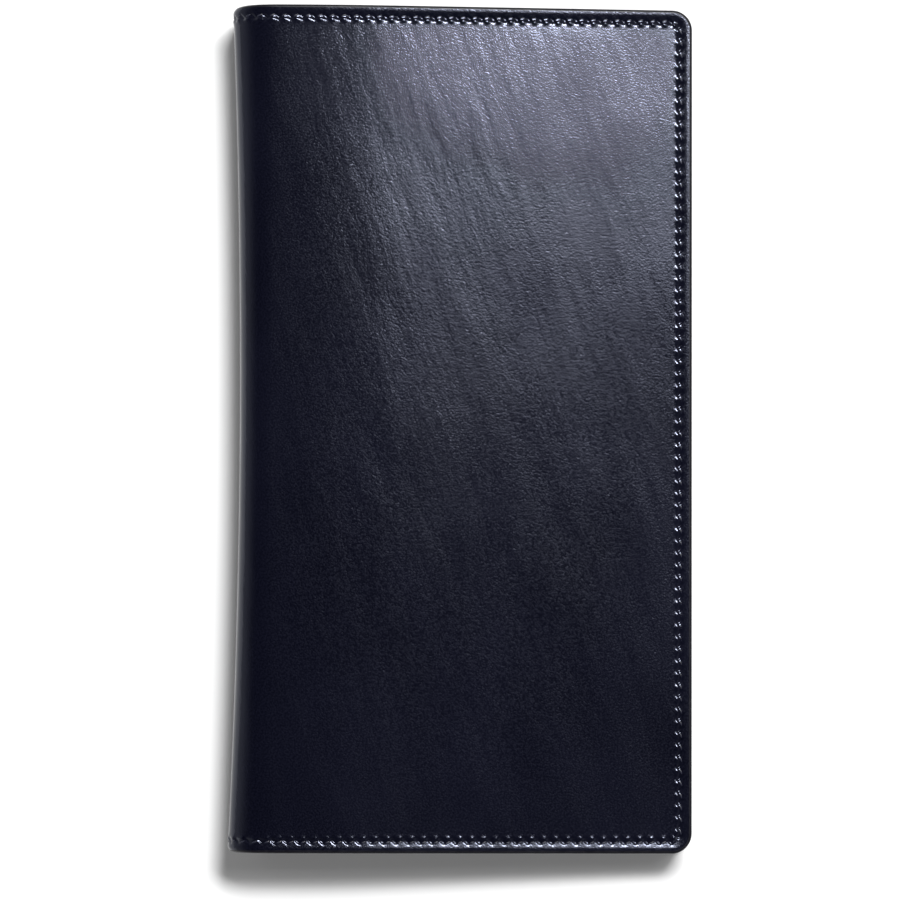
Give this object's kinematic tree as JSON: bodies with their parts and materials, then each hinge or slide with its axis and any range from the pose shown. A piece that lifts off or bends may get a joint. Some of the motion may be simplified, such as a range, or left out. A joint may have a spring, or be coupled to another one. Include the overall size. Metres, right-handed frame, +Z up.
{
  "type": "long wallet",
  "caption": "Long leather wallet that folds like a book, stitched round its edge, with card slots, note pockets and a zipped coin pocket inside.",
  "frame": {"origin": "centre of the closed wallet's footprint, on the surface that its back cover lies on", "axes": "+X from the spine to the free edge, +Y along the spine to the wallet's top, +Z up through the closed wallet, out of the front cover"},
  "size_m": [0.0951, 0.177, 0.02],
  "materials": {
    "cover_leather": "glazed bridle-type leather, deep navy, polished",
    "inner_leather": "thinner navy leather, satin",
    "lining_fabric": "fine navy twill",
    "thread": "waxed dark navy thread",
    "zip_tape": "woven navy tape",
    "zip_metal": "polished brass"
  },
  "bodies": {
    "back_half": {"back_cover": "cover_leather", "back_lining": "lining_fabric", "back_note_panel": "inner_leather", "back_seam_thread": "thread", "coin_back_panel": "lining_fabric", "coin_gusset": "inner_leather", "coin_front_panel": "inner_leather", "coin_seam_thread": "thread", "zip_tape_left": "zip_tape", "zip_tape_right": "zip_tape", "zip_teeth_left": "zip_metal", "zip_teeth_right": "zip_metal", "zip_stops": "zip_metal"},
    "spine": {"spine_cover": "cover_leather", "spine_lining": "lining_fabric", "spine_seam_thread": "thread"},
    "front_half": {"front_cover": "cover_leather", "front_lining": "lining_fabric", "front_note_panel": "inner_leather", "front_seam_thread": "thread", "card_slot_1": "inner_leather", "card_slot_2": "inner_leather", "card_slot_3": "inner_leather", "card_slot_4": "inner_leather", "card_slot_5": "inner_leather", "card_slot_6": "inner_leather", "card_seam_thread": "thread"},
    "slider": {"zip_slider": "zip_metal", "slider_bail": "zip_metal"},
    "pull": {"pull_link": "zip_metal", "pull_tab": "inner_leather", "pull_rivet": "zip_metal"}
  },
  "joints": [
    {"name": "spine_fold", "type": "hinge", "parent": "back_half", "child": "spine", "pos_m": [-0.04545, 0, 0.00205], "axis": [0, -1, 0], "range_deg": [0, 90]},
    {"name": "cover_fold", "type": "hinge", "parent": "spine", "child": "front_half", "pos_m": [-0.04521, 0, 0.01818], "axis": [0, -1, 0], "range_deg": [0, 95.5]},
    {"name": "zip_slide", "type": "slide", "parent": "back_half", "child": "slider", "axis": [0, -1, 0], "range_m": [0, 0.128]},
    {"name": "pull_swing", "type": "hinge", "parent": "slider", "child": "pull", "pos_m": [-0.03289, 0.0705, 0.00987], "axis": [-0.9986, 0, 0.0523], "range_deg": [0, 5]}
  ],
  "couplings": [
    {"joint": "cover_fold", "follows": "spine_fold", "ratio": 1.0611}
  ]
}
